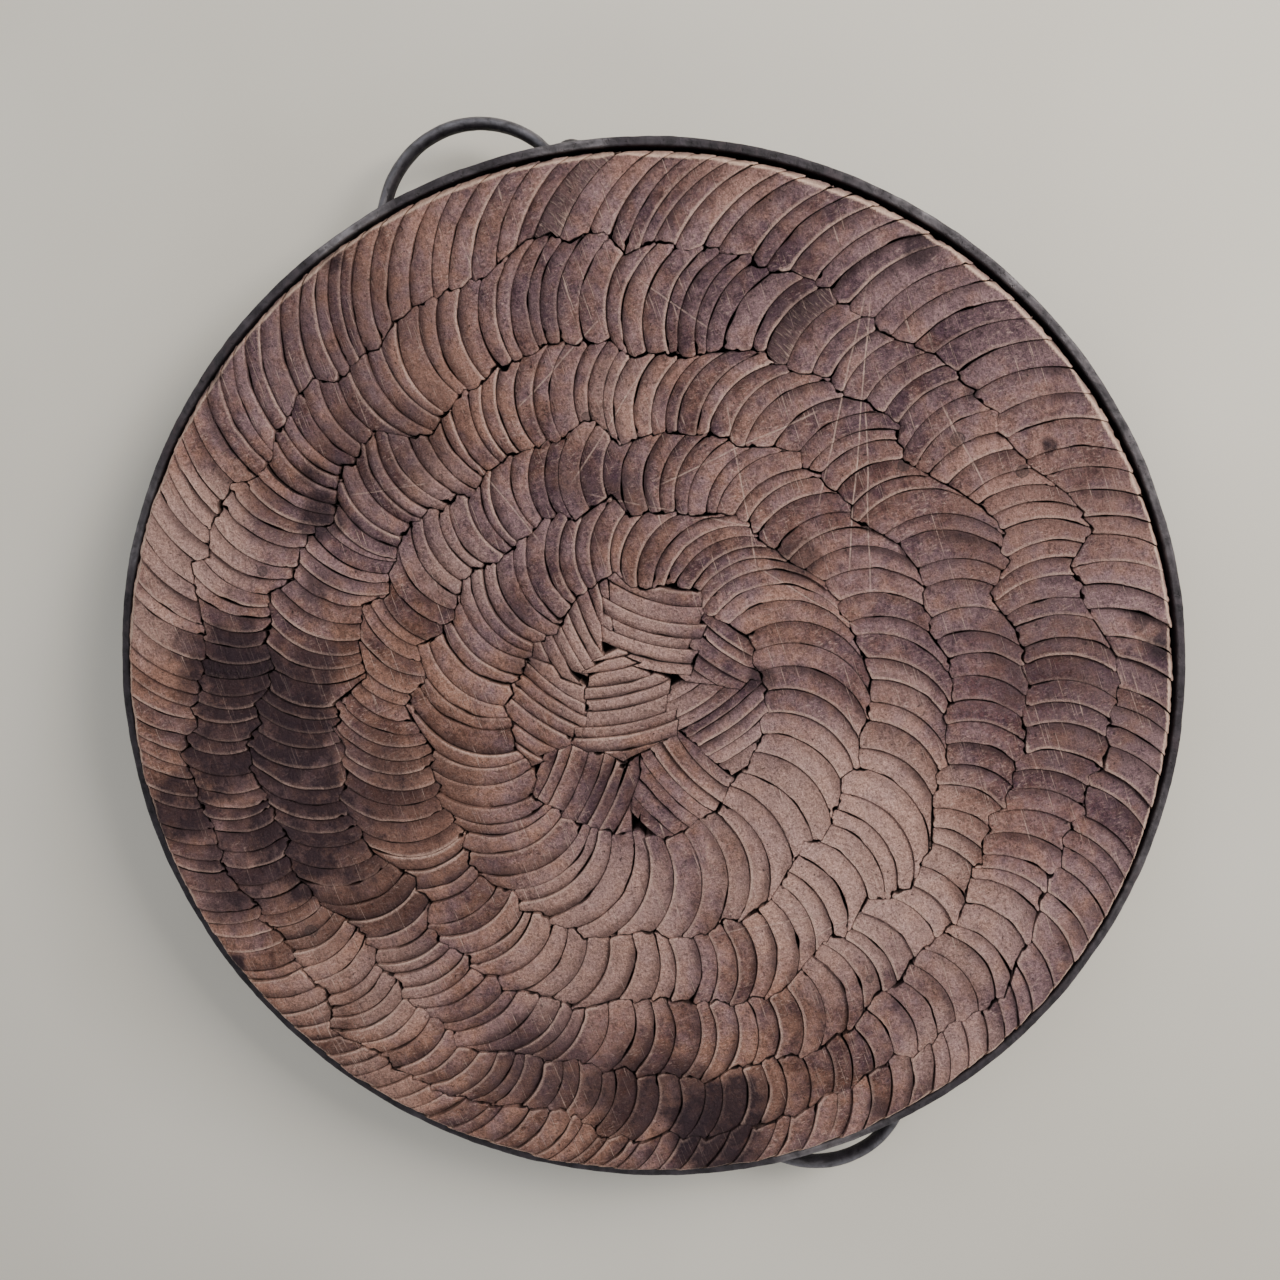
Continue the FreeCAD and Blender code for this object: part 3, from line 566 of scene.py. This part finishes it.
def with_punch_marks(paint, colour):
    """The colour with a dark spot, and a darker ring round it, at each mark of the punch."""
    for azimuth, share, radius in PUNCH_MARKS:
        middle = (*face_place(azimuth, share), FACE - MM)
        away = paint.step("ShaderNodeVectorMath", {0: paint.place, 1: middle}, "Value",
                          operation="DISTANCE")
        inside = paint.ramp(away, 0.82 * radius * MM, 1.0 * radius * MM, 0.55, 0.0)
        rim = paint.times(paint.ramp(away, 0.78 * radius * MM, 0.95 * radius * MM),
                          paint.ramp(away, 1.0 * radius * MM, 1.2 * radius * MM, 1.0, 0.0))
        mark = paint.math("MAXIMUM", inside, paint.times(rim, 0.8))
        colour = paint.mix(mark, colour, srgb(62, 50, 50))
    return colour


def leather_paint():
    """End-grain leather: mottled tan to purple, stained and nicked, with painted highlights on the lips
    and bevel and painted shade, with some dirt, on low sides and joints.
    """
    paint = Paint("aged_leather")
    fine, grain = paint.noise(0.6 * MM, 3, 0.7), paint.noise(1.25 * MM, 4, 0.7)
    fibres = paint.noise(0.9 * MM, 4, 0.7, place=paint.frame(turn=35, scale=(1, 0.35, 1)))
    mottle, drift = paint.noise(7 * MM, 5, 0.65), paint.noise(48 * MM, 3, 0.55)
    rough_patch = paint.ramp(paint.noise(26 * MM, 2), 0.42, 0.62)

    tone = paint.math("ADD", paint.ramp(paint.value("tone"), -2, 2, -0.34, 0.34),
                      paint.ramp(drift, 0.25, 0.75, 0.18, 0.82))
    tone = paint.math("ADD", tone, paint.ramp(mottle, 0.3, 0.7, -0.36, 0.36))
    patchy = paint.math("ADD", paint.noise(70 * MM, 2), paint.noise(9 * MM, 3, 0.6))
    along_block = paint.step("ShaderNodeSeparateXYZ", {0: paint.frame(turn=-WARM_AZIMUTH)}, "X")
    hue = paint.math("ADD", paint.ramp(patchy, 0.80, 1.20),
                     paint.ramp(along_block, -HOOP_RADIUS, HOOP_RADIUS, -0.45, 0.35))
    hue = paint.ramp(hue, 0, 1)
    dark_shade = paint.mix(hue, srgb(75, 52, 62), srgb(90, 59, 50))
    light_shade = paint.mix(hue, srgb(151, 120, 121), srgb(173, 128, 110))
    colour = paint.mix(paint.ramp(tone, 0.0, 1.0), dark_shade, light_shade)
    colour = paint.mix(paint.times(paint.value("pale"), 0.72), colour, srgb(197, 159, 147))
    red = paint.times(paint.value("rust"), paint.ramp(paint.noise(2.4 * MM, 5, 0.75), 0.42, 0.58))
    colour = paint.mix(paint.times(red, 0.62), colour, srgb(92, 50, 46))

    speckle = paint.times(paint.ramp(fine, 0.34, 0.68, 0.64, 1.36),
                          paint.ramp(grain, 0.32, 0.70, 0.54, 1.48))
    speckles = paint.step("ShaderNodeCombineXYZ", {0: speckle, 1: speckle, 2: speckle})
    colour = paint.mix(1.0, colour, speckles, "MULTIPLY")
    threads = paint.ramp(fibres, 0.54, 0.72)
    colour = paint.mix(paint.times(threads, paint.ramp(rough_patch, 0, 1, 0.24, 0.52)), colour,
                       srgb(224, 191, 177))

    crosswise = paint.step("ShaderNodeCombineXYZ", {
        0: paint.times(paint.value("along"), MM), 1: paint.times(paint.value("across"), 1.5 * MM)})
    ribs = paint.ramp(paint.noise(1.0 * MM, 3, 0.6, place=crosswise), 0.52, 0.64)
    ribbed = paint.value("ribbed")
    colour = paint.mix(paint.times(ribbed, 0.7), colour, srgb(74, 54, 58))
    colour = paint.mix(paint.times(ribbed, ribs, 0.6), colour, srgb(186, 158, 146))

    stain = paint.math("ADD", paint.value("stain"), paint.ramp(mottle, 0.3, 0.7, -0.34, 0.26))
    stain = paint.math("ADD", stain, paint.ramp(grain, 0.3, 0.7, -0.20, 0.16))
    stain = paint.ramp(stain, 0.14, 0.90)
    colour = paint.mix(paint.times(stain, 0.94), colour, srgb(32, 16, 27))

    # Painted shade, with some dirt, over each strip's low side.
    shade = paint.math("MULTIPLY", paint.value("shade"), paint.ramp(grain, 0.25, 0.7, 0.75, 1.1))
    colour = paint.mix(paint.times(shade, 0.84), colour, srgb(46, 27, 30))
    blots = paint.ramp(paint.noise(3.6 * MM, 4, 0.65), 0.56, 0.70)
    colour = paint.mix(paint.times(blots, 0.46), colour, srgb(56, 36, 39))
    pits = paint.ramp(paint.noise(1.9 * MM, 2, 0.5), 0.67, 0.74)
    colour = paint.mix(paint.times(pits, 0.75), colour, srgb(38, 23, 27))
    clean = paint.ramp(stain, 0.2, 1.0, 1.0, 0.45)
    # Painted highlight along each strip's raised lip, weaker on stains.
    lip = paint.times(paint.value("lip"), paint.ramp(fine, 0.3, 0.6, 0.25, 0.85), clean)
    colour = paint.mix(lip, colour, srgb(220, 184, 168))

    # Painted highlight on the up-facing rim bevel, weaker on stains.
    bevel = paint.math("MULTIPLY", paint.value("bevel"), paint.ramp(mottle, 0.25, 0.5, 0.7, 1.0))
    edge_tan = paint.mix(paint.ramp(fine, 0.3, 0.7), srgb(196, 156, 136), srgb(246, 214, 194))
    colour = paint.mix(paint.times(bevel, paint.ramp(stain, 0.3, 1.0, 0.98, 0.35)), colour, edge_tan)

    cuts = paint.times(knife_cuts(paint), clean, clean)
    colour = paint.mix(paint.times(cuts, 0.72), colour, srgb(214, 182, 168))
    colour = with_punch_marks(paint, colour)

    # Painted shade, with some grime, in the joints between strips.
    joint = paint.ramp(paint.value("joint"), 0.15, 0.85, smooth=True)
    colour = paint.mix(paint.times(joint, paint.ramp(bevel, 0, 1, 0.90, 0.6)), colour, srgb(24, 14, 15))
    paint.put(paint.shader.inputs["Base Color"], colour)

    gloss = paint.ramp(fine, 0.3, 0.7, 0.78, 0.64)
    paint.put(paint.shader.inputs["Roughness"],
              paint.math("SUBTRACT", gloss, paint.times(stain, 0.14)))
    paint.shader.inputs["Specular IOR Level"].default_value = 0.26
    normal = paint.bump(fine, 0.22 * MM)
    normal = paint.bump(grain, 0.8 * MM, normal)
    normal = paint.bump(fibres, 0.35 * MM, normal)
    normal = paint.bump(paint.math("SUBTRACT", 1.0, cuts), 0.35 * MM, normal)
    normal = paint.bump(paint.times(ribs, ribbed), 0.6 * MM, normal)
    normal = paint.bump(mottle, 2.0 * MM, normal)
    paint.put(paint.shader.inputs["Normal"], normal)
    return paint.material


def iron_paint(name, dull, bright, wear_and_highlight, rust, roughness, pits=0.5):
    """Old forged iron: scale and rust, rubbed bright, with painted highlights, where the vertex value
    says.
    """
    paint = Paint(name)
    fine, blotch = paint.noise(0.8 * MM, 4, 0.65), paint.noise(5 * MM, 4, 0.6, 0.4)
    wide = paint.noise(42 * MM, 3, 0.5)
    colour = paint.mix(paint.ramp(blotch, 0.34, 0.68), dull, bright)
    colour = paint.mix(paint.times(paint.ramp(fine, 0.54, 0.74), 0.5), colour, bright)
    colour = paint.mix(paint.times(paint.ramp(wide, 0.5, 0.72), paint.ramp(blotch, 0.45, 0.62), 0.7),
                       colour, rust)
    holes = paint.ramp(paint.noise(1.6 * MM, 2, 0.6), 0.62, 0.72)
    colour = paint.mix(paint.times(holes, 0.7), colour, srgb(22, 17, 20))
    # Rubbed bare iron, together with painted highlights and glints.
    rubbed_and_highlight = paint.times(paint.value("wear_and_highlight"), paint.ramp(blotch, 0.32, 0.62, 0.35, 1.0))
    colour = paint.mix(rubbed_and_highlight, colour, wear_and_highlight)
    paint.put(paint.shader.inputs["Base Color"], colour)
    paint.put(paint.shader.inputs["Metallic"], paint.ramp(rubbed_and_highlight, 0, 1, 0.25, 0.85))
    paint.put(paint.shader.inputs["Roughness"], paint.math(
        "SUBTRACT", paint.ramp(fine, 0.3, 0.7, roughness + 0.08, roughness - 0.06),
        paint.times(rubbed_and_highlight, 0.2)))
    normal = paint.bump(fine, 0.18 * MM)
    normal = paint.bump(holes, -pits * MM, normal, 0.8)
    normal = paint.bump(blotch, 0.7 * MM, normal)
    paint.put(paint.shader.inputs["Normal"], normal)
    return paint.material


# ---- Iron work -------------------------------------------------------------------------------------

HOOP_STEPS = 1440  # sections round the hoop
# Where the hoop's top edge is rubbed bright and carries painted glints: azimuth, spread in degrees and
# strength.
RUBBED_AND_GLINT_STRETCHES = ((12, 6, 1.1), (348, 6, 0.6), (300, 26, 0.35), (275, 14, 0.3), (52, 8, 0.4),
                    (184, 10, 0.5), (230, 16, 0.2))
KNEE_ANGLE = 10.7  # where a handle's bar leaves the hoop, in degrees from the handle's middle
BOW_ANGLE = 58.0  # how far the round part of the bow runs to each side of its own middle
FOOT_TIP = 9 * MM  # the end of a foot, whose rounding needs closer points
BAR_AROUND = 28  # points round a bar
RIVET_AROUND = 40  # points round a rivet
# A rivet's dome and tail as turned outlines in mm: how far out each point is, from the foot's face
# for the dome and from the hoop's inside for the tail, and its radius.
RIVET_DOME = ((-0.6, 0.0), (-0.6, 4.5), (0.0, 4.75), (0.5, 4.8), (1.1, 4.3), (1.7, 3.4), (2.1, 2.3),
              (2.35, 1.1), (2.4, 0.0))
RIVET_TAIL = ((6.2, 0.0), (6.2, 2.95), (1.6, 2.95), (0.1, 4.5), (0.02, 0.0))


def ring_faces(rings, around, closed=True):
    """Quads between rings of points: rings is how many, and around is how many points in each."""
    faces = []
    for ring in range(rings if closed else rings - 1):
        after = (ring + 1) % rings
        for index in range(around):
            beside = (index + 1) % around
            faces.append([ring * around + index, ring * around + beside,
                          after * around + beside, after * around + index])
    return faces


def set_wear_and_highlight(piece, values):
    """Tell the iron's finish how rubbed each vertex is, with any painted highlight there."""
    layer = piece.data.attributes.new("wear_and_highlight", "FLOAT", "POINT")
    layer.data.foreach_set("value", np.asarray(values, np.float32))


def hoop_section():
    """The strap's section with rounded corners, as rows of radius, height and how exposed it is."""
    inside, outside = HOOP_RADIUS - HOOP_IRON + HOOP_ROUNDING, HOOP_RADIUS - HOOP_ROUNDING
    low, high = HOOP_ROUNDING, HOOP_HEIGHT - HOOP_ROUNDING
    corners = ((outside, high, 0), (inside, high, 90), (inside, low, 180), (outside, low, 270))
    rows = []
    for corner, after in zip(corners, corners[1:] + corners[:1]):
        radius, height, start = corner
        for turn in range(start, start + 91, 18):
            out = HOOP_ROUNDING * math.cos(math.radians(turn))
            up = HOOP_ROUNDING * math.sin(math.radians(turn))
            rows.append((radius + out, height + up, 1.0))
        on_edge = start in (0, 180)
        for share in (0.33, 0.67) if on_edge else np.arange(1, 16) / 16:
            rows.append((radius + (after[0] - radius) * share + out,
                         height + (after[1] - height) * share + up, 0.7 if on_edge else 0.0))
    return np.array(rows)


def make_hoop(material):
    """The hammered strap, bent round, with its top edge beaten down a little, rubbed bright and given
    painted glints.
    """
    section = hoop_section()
    turn = np.repeat(np.arange(HOOP_STEPS) * 2 * math.pi / HOOP_STEPS, len(section))
    radius, height, exposed = [np.tile(section[:, column], HOOP_STEPS) for column in range(3)]
    wrapped = np.cos(turn) * HOOP_RADIUS, np.sin(turn) * HOOP_RADIUS
    outer = ease(radius, HOOP_RADIUS - HOOP_IRON, HOOP_RADIUS)
    dents = rough(wrapped[0] + height, wrapped[1] - height, 16 * MM, 40)
    small = rough(wrapped[0] + 1.7 * height, wrapped[1] + height, 3.2 * MM, 41)
    top = ease(height, HOOP_HEIGHT - 3 * MM, HOOP_HEIGHT)
    low = ease(height, 3 * MM, 0)
    radius = radius + outer * (0.75 * dents + 0.22 * small) * MM - 0.2 * outer * MM
    radius = radius - 0.2 * (1 - outer) * np.abs(small) * MM
    beaten = 0.9 * rough(*wrapped, 22 * MM, 42) + 0.5 * rough(*wrapped, 4 * MM, 43)
    height = height - top * np.abs(beaten) * MM
    height = height + low * 0.4 * np.abs(rough(*wrapped, 12 * MM, 44)) * MM
    points = np.column_stack([radius * np.cos(turn), radius * np.sin(turn), height])
    faces = ring_faces(HOOP_STEPS, len(section))
    piece = mesh_object("forged_hoop", points, faces, material, 60)
    azimuth = np.degrees(turn)
    bright = np.zeros_like(azimuth)
    for middle, spread, strength in RUBBED_AND_GLINT_STRETCHES:
        away = np.abs((azimuth - middle + 180) % 360 - 180)
        bright = np.maximum(bright, strength * (1 - ease(away, 0.3 * spread, spread)))
    # Rubbed iron along the top edge, brightened into painted glints in the listed stretches.
    wear_and_highlight = exposed * (0.10 + 1.0 * bright) * top * (0.4 + 1.2 * noise(*wrapped, 5 * MM, 45))
    set_wear_and_highlight(piece, np.clip(wear_and_highlight, 0, 1))
    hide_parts("hoop")


def handle_path():
    """Middle line of a handle's bar in its own frame, with X out from the hoop."""
    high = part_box("right_handle")[1]
    bow_middle = high.x - BAR_THICKNESS / 2 - BOW_RADIUS
    foot_radius = HOOP_RADIUS + FOOT_THICKNESS / 2 + 0.15 * MM
    foot_end = math.asin(high.y / (HOOP_RADIUS + FOOT_THICKNESS))
    knee, leave = math.radians(KNEE_ANGLE), math.radians(BOW_ANGLE)
    path = [(foot_radius * math.cos(angle), foot_radius * math.sin(angle))
            for angle in np.linspace(foot_end, knee, 10)]
    start = np.array(path[-1])
    heading = np.array([math.sin(knee), -math.cos(knee)])
    end = np.array([bow_middle + BOW_RADIUS * math.cos(leave), BOW_RADIUS * math.sin(leave)])
    arriving = np.array([math.sin(leave), -math.cos(leave)])
    for share in np.linspace(0, 1, 12)[1:-1]:
        rest = 1 - share
        path.append(tuple(rest ** 3 * start + 3 * share * rest ** 2 * (start + 5 * MM * heading)
                          + 3 * share ** 2 * rest * (end - 5.5 * MM * arriving) + share ** 3 * end))
    path += [(bow_middle + BOW_RADIUS * math.cos(angle), BOW_RADIUS * math.sin(angle))
             for angle in np.linspace(leave, 0, 26)]
    path = np.array(path)
    return np.vstack([path, path[-2::-1] * (1, -1)])


def respaced(path):
    """The path smoothed, with closer points at its ends, and how far along each point is."""
    lengths = np.concatenate([[0], np.cumsum(np.hypot(*np.diff(path, axis=0).T))])
    total = lengths[-1]
    along = np.concatenate([np.linspace(0, FOOT_TIP, 22)[:-1],
                            np.linspace(FOOT_TIP, total - FOOT_TIP, 190),
                            np.linspace(total - FOOT_TIP, total, 22)[1:]])
    path = np.column_stack([np.interp(along, lengths, path[:, axis]) for axis in (0, 1)])
    for _ in range(3):
        path[1:-1] = 0.5 * path[1:-1] + 0.25 * (path[:-2] + path[2:])
    return path, along


def make_handle(side, material):
    """A flat bar with round edges, whose ends are hammered out into wide thin feet."""
    path, along = respaced(handle_path())
    tangent = np.gradient(path, axis=0)
    tangent /= np.hypot(*tangent.T)[:, None]
    out = np.column_stack([-tangent[:, 1], tangent[:, 0]])
    out *= np.sign((out * path).sum(1))[:, None]
    from_end = np.minimum(along, along[-1] - along)
    roundness = ease(from_end, 13 * MM, 29 * MM)
    close = np.clip(1 - from_end / FOOT_ROUNDING, 0, 1)
    width = FOOT_WIDTH + (BAR_WIDTH - FOOT_WIDTH) * roundness
    width = width * np.sqrt(np.clip(1 - 0.92 * close ** 2, 0, 1))
    thick = FOOT_THICKNESS + (BAR_THICKNESS - FOOT_THICKNESS) * roundness
    thick = thick * (1 - 0.35 * close ** 3)
    angles = np.arange(BAR_AROUND) * 2 * math.pi / BAR_AROUND
    cosine, sine = np.cos(angles), np.sin(angles)
    # Painted highlight, with some wear from hands, on the bar's outer and upper side.
    facing = ease(cosine * 0.75 + sine * 0.65, 0.15, 0.85)
    turn = math.radians(HANDLE_AZIMUTHS[side])
    spin = np.array([[math.cos(turn), -math.sin(turn)], [math.sin(turn), math.cos(turn)]])
    points, wear_and_highlight = [], []
    for index, (place, normal) in enumerate(zip(path, out)):
        power = 0.35 + 0.55 * roundness[index]
        here = np.full(BAR_AROUND, along[index])
        push = thick[index] / 2 * np.sign(cosine) * np.abs(cosine) ** power
        lift = width[index] / 2 * np.sign(sine) * np.abs(sine) ** power
        hammered = 0.35 * MM * rough(here, 3 * lift + push, 7 * MM, 50)
        push = push + hammered * np.sign(cosine) * roundness[index]
        flat = place + push[:, None] * normal
        points.append(np.column_stack([flat @ spin.T, HOOP_HEIGHT / 2 + lift]))
        wear_and_highlight.append(facing * (0.55 + 0.45 * noise(here, lift, 9 * MM, 51)))
    last = (len(path) - 1) * BAR_AROUND
    faces = ring_faces(len(path), BAR_AROUND, closed=False)
    faces.append(list(range(BAR_AROUND)))
    faces.append([last + index for index in range(BAR_AROUND)][::-1])
    piece = mesh_object(f"forged_{side}_handle", np.vstack(points), faces, material, 40)
    set_wear_and_highlight(piece, np.concatenate(wear_and_highlight))
    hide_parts(f"{side}_handle")


def make_rivets(side, material):
    """Both rivets of a handle: hammered domes outside, and tails flush with the hoop's inside."""
    foot = HOOP_RADIUS + FOOT_THICKNESS
    ends = ((foot, RIVET_DOME), (HOOP_RADIUS - HOOP_IRON, RIVET_TAIL))
    up = np.array([0, 0, 1])
    points, faces, wear_and_highlight = [], [], []
    for sign in (-1, 1):
        azimuth = math.radians(HANDLE_AZIMUTHS[side] + sign * RIVET_ANGLE)
        outwards = np.array([math.cos(azimuth), math.sin(azimuth), 0])
        sideways = np.array([-math.sin(azimuth), math.cos(azimuth), 0])
        for start, rows in ends:
            first = len(points)
            faces += [[first + corner for corner in face]
                      for face in ring_faces(len(rows), RIVET_AROUND, closed=False)]
            for out, wide in rows:
                far = start + out * MM
                for step in range(RIVET_AROUND):
                    angle = 2 * math.pi * step / RIVET_AROUND
                    lump = noise(np.array([angle * 3 * MM]), np.array([far]), 3 * MM, 60 + sign)[0]
                    spread = wide * MM * (1 + 0.07 * (lump - 0.5))
                    around = math.cos(angle) * sideways + math.sin(angle) * up
                    points.append(far * outwards + spread * around + HOOP_HEIGHT / 2 * up)
                    wear_and_highlight.append(0.5 * ease(far, foot + 0.9 * MM, foot + 2.2 * MM))
    piece = mesh_object(f"{side}_rivets", np.array(points), faces, material, 40)
    set_wear_and_highlight(piece, wear_and_highlight)
    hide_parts(f"{side}_handle_rivets")


def azimuth_of(name):
    """Where a handle is round the block, from the middle of its bow."""
    places = np.array([vertex.co[:2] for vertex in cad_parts[name].data.vertices])
    middle = places[np.hypot(*places.T) > HOOP_RADIUS + 15 * MM].mean(0)
    return math.degrees(math.atan2(middle[1], middle[0]))


HANDLE_AZIMUTHS = {side: azimuth_of(f"{side}_handle") for side in HANDLE_SIDES}

leather = leather_paint()
hoop_iron = iron_paint("hoop_iron", srgb(22, 17, 22), srgb(54, 46, 54), srgb(146, 141, 144),
                       srgb(56, 36, 34), 0.66)
handle_iron = iron_paint("handle_iron", srgb(34, 30, 34), srgb(62, 58, 64), srgb(128, 126, 132),
                         srgb(60, 44, 40), 0.52, 0.25)
rivet_iron = iron_paint("rivet_iron", srgb(40, 36, 40), srgb(70, 64, 68), srgb(120, 116, 120),
                        srgb(70, 48, 42), 0.6)

for name in LEATHER_NODES:
    make_leather(name, leather)
make_hoop(hoop_iron)
for side in HANDLE_SIDES:
    make_handle(side, handle_iron)
    make_rivets(side, rivet_iron)

# ---- Floor, lights and camera ------------------------------------------------------------------------

floor_paint = Paint("pale_floor")
floor_tone = floor_paint.mix(floor_paint.ramp(floor_paint.noise(0.3, 3, 0.5), 0.3, 0.7),
                             srgb(214, 208, 196), srgb(226, 221, 210))
floor_paint.put(floor_paint.shader.inputs["Base Color"], floor_tone)
floor_paint.shader.inputs["Roughness"].default_value = 0.85
floor_mesh = bpy.data.meshes.new("floor")
reach = 6.0
corners = [(-reach, -reach, 0), (reach, -reach, 0), (reach, reach, 0), (-reach, reach, 0)]
floor_mesh.from_pydata(corners, [], [(0, 1, 2, 3)])
floor_mesh.materials.append(floor_paint.material)
floor = bpy.data.objects.new("floor", floor_mesh)
bpy.context.scene.collection.objects.link(floor)

world = bpy.data.worlds.new("studio")
world.use_nodes = True
world.node_tree.nodes["Background"].inputs["Color"].default_value = (0.95, 0.97, 1.0, 1.0)
world.node_tree.nodes["Background"].inputs["Strength"].default_value = 0.35
bpy.context.scene.world = world


def add_light(name, azimuth, elevation, distance, size, power, colour):
    """A soft square light that looks at the middle of the block."""
    data = bpy.data.lights.new(name, "AREA")
    data.shape = "SQUARE"
    data.size = size
    data.energy = power
    data.color = colour
    lamp = bpy.data.objects.new(name, data)
    turn, rise = math.radians(azimuth), math.radians(elevation)
    level = math.cos(rise)
    place = distance * Vector((math.cos(turn) * level, math.sin(turn) * level, math.sin(rise)))
    lamp.location = place
    lamp.rotation_euler = place.to_track_quat("Z", "Y").to_euler()
    bpy.context.scene.collection.objects.link(lamp)


add_light("key", -70, 40, 1.6, 0.7, 27, (1.0, 0.96, 0.90))
add_light("fill", 25, 52, 2.2, 1.6, 11, (0.92, 0.95, 1.0))
add_light("back", 165, 35, 2.2, 1.2, 6, (1.0, 0.98, 0.95))

# The camera looks down on the working face, a little off the axis, with the right handle upwards.
camera_data = bpy.data.cameras.new("camera")
camera_data.sensor_width = 36.0
camera_data.lens = 36.06
camera = bpy.data.objects.new("camera", camera_data)
rise_above = 2.3366 * HOOP_RADIUS
off_axis = 0.5972 * HOOP_RADIUS
towards = math.radians(-33.19)
back_azimuth, back_elevation, roll = [math.radians(value) for value in (53.59, 78.15, -162.49)]
stand = Matrix.Translation((off_axis * math.cos(towards), off_axis * math.sin(towards),
                            HOOP_HEIGHT + rise_above))
aim = (Matrix.Rotation(back_azimuth, 4, "Z") @ Matrix.Rotation(math.pi / 2 - back_elevation, 4, "X")
       @ Matrix.Rotation(roll, 4, "Z"))
camera.matrix_world = stand @ aim
bpy.context.scene.collection.objects.link(camera)
bpy.context.scene.camera = camera
